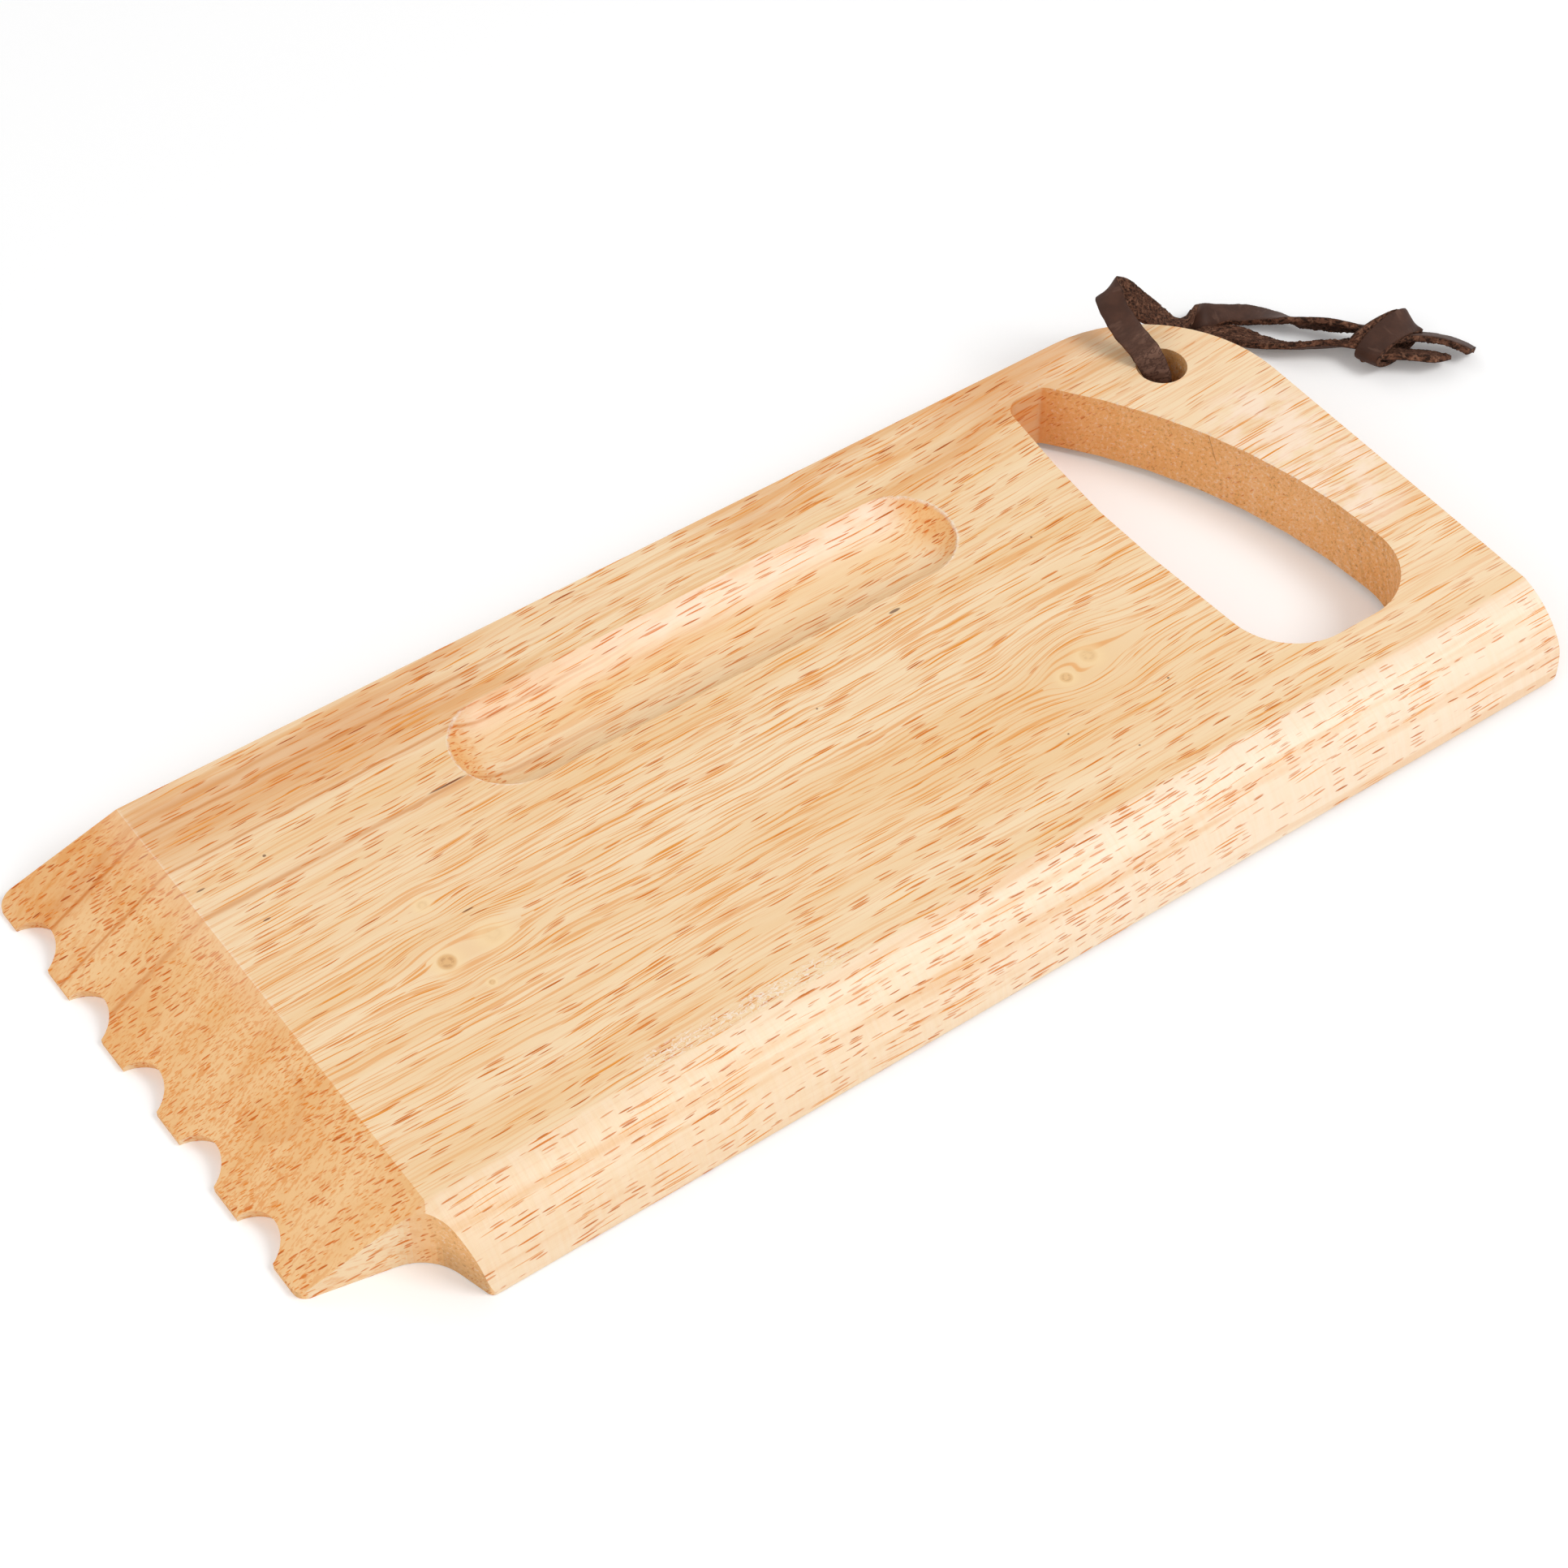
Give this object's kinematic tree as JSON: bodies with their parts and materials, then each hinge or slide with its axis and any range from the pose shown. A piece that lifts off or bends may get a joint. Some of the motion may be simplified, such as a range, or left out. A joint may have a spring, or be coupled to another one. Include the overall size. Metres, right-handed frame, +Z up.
{
  "type": "grill scraper",
  "caption": "One-piece wooden grill scraper board with a bevelled, notched scraping edge, hook notch, finger groove, handle opening and a flat leather thong.",
  "frame": {"origin": "on the surface the scraper lies on, under the middle of the board's outline", "axes": "+X along the board towards the handle end, +Y across it towards the side with the groove and the hanging hole, +Z up"},
  "size_m": [0.3084, 0.1176, 0.0275],
  "materials": {
    "wood": "oiled satin",
    "leather": "matte"
  },
  "bodies": {
    "root": {"board": "wood", "thong_loop": "leather", "thong_knot": "leather"}
  },
  "joints": []
}
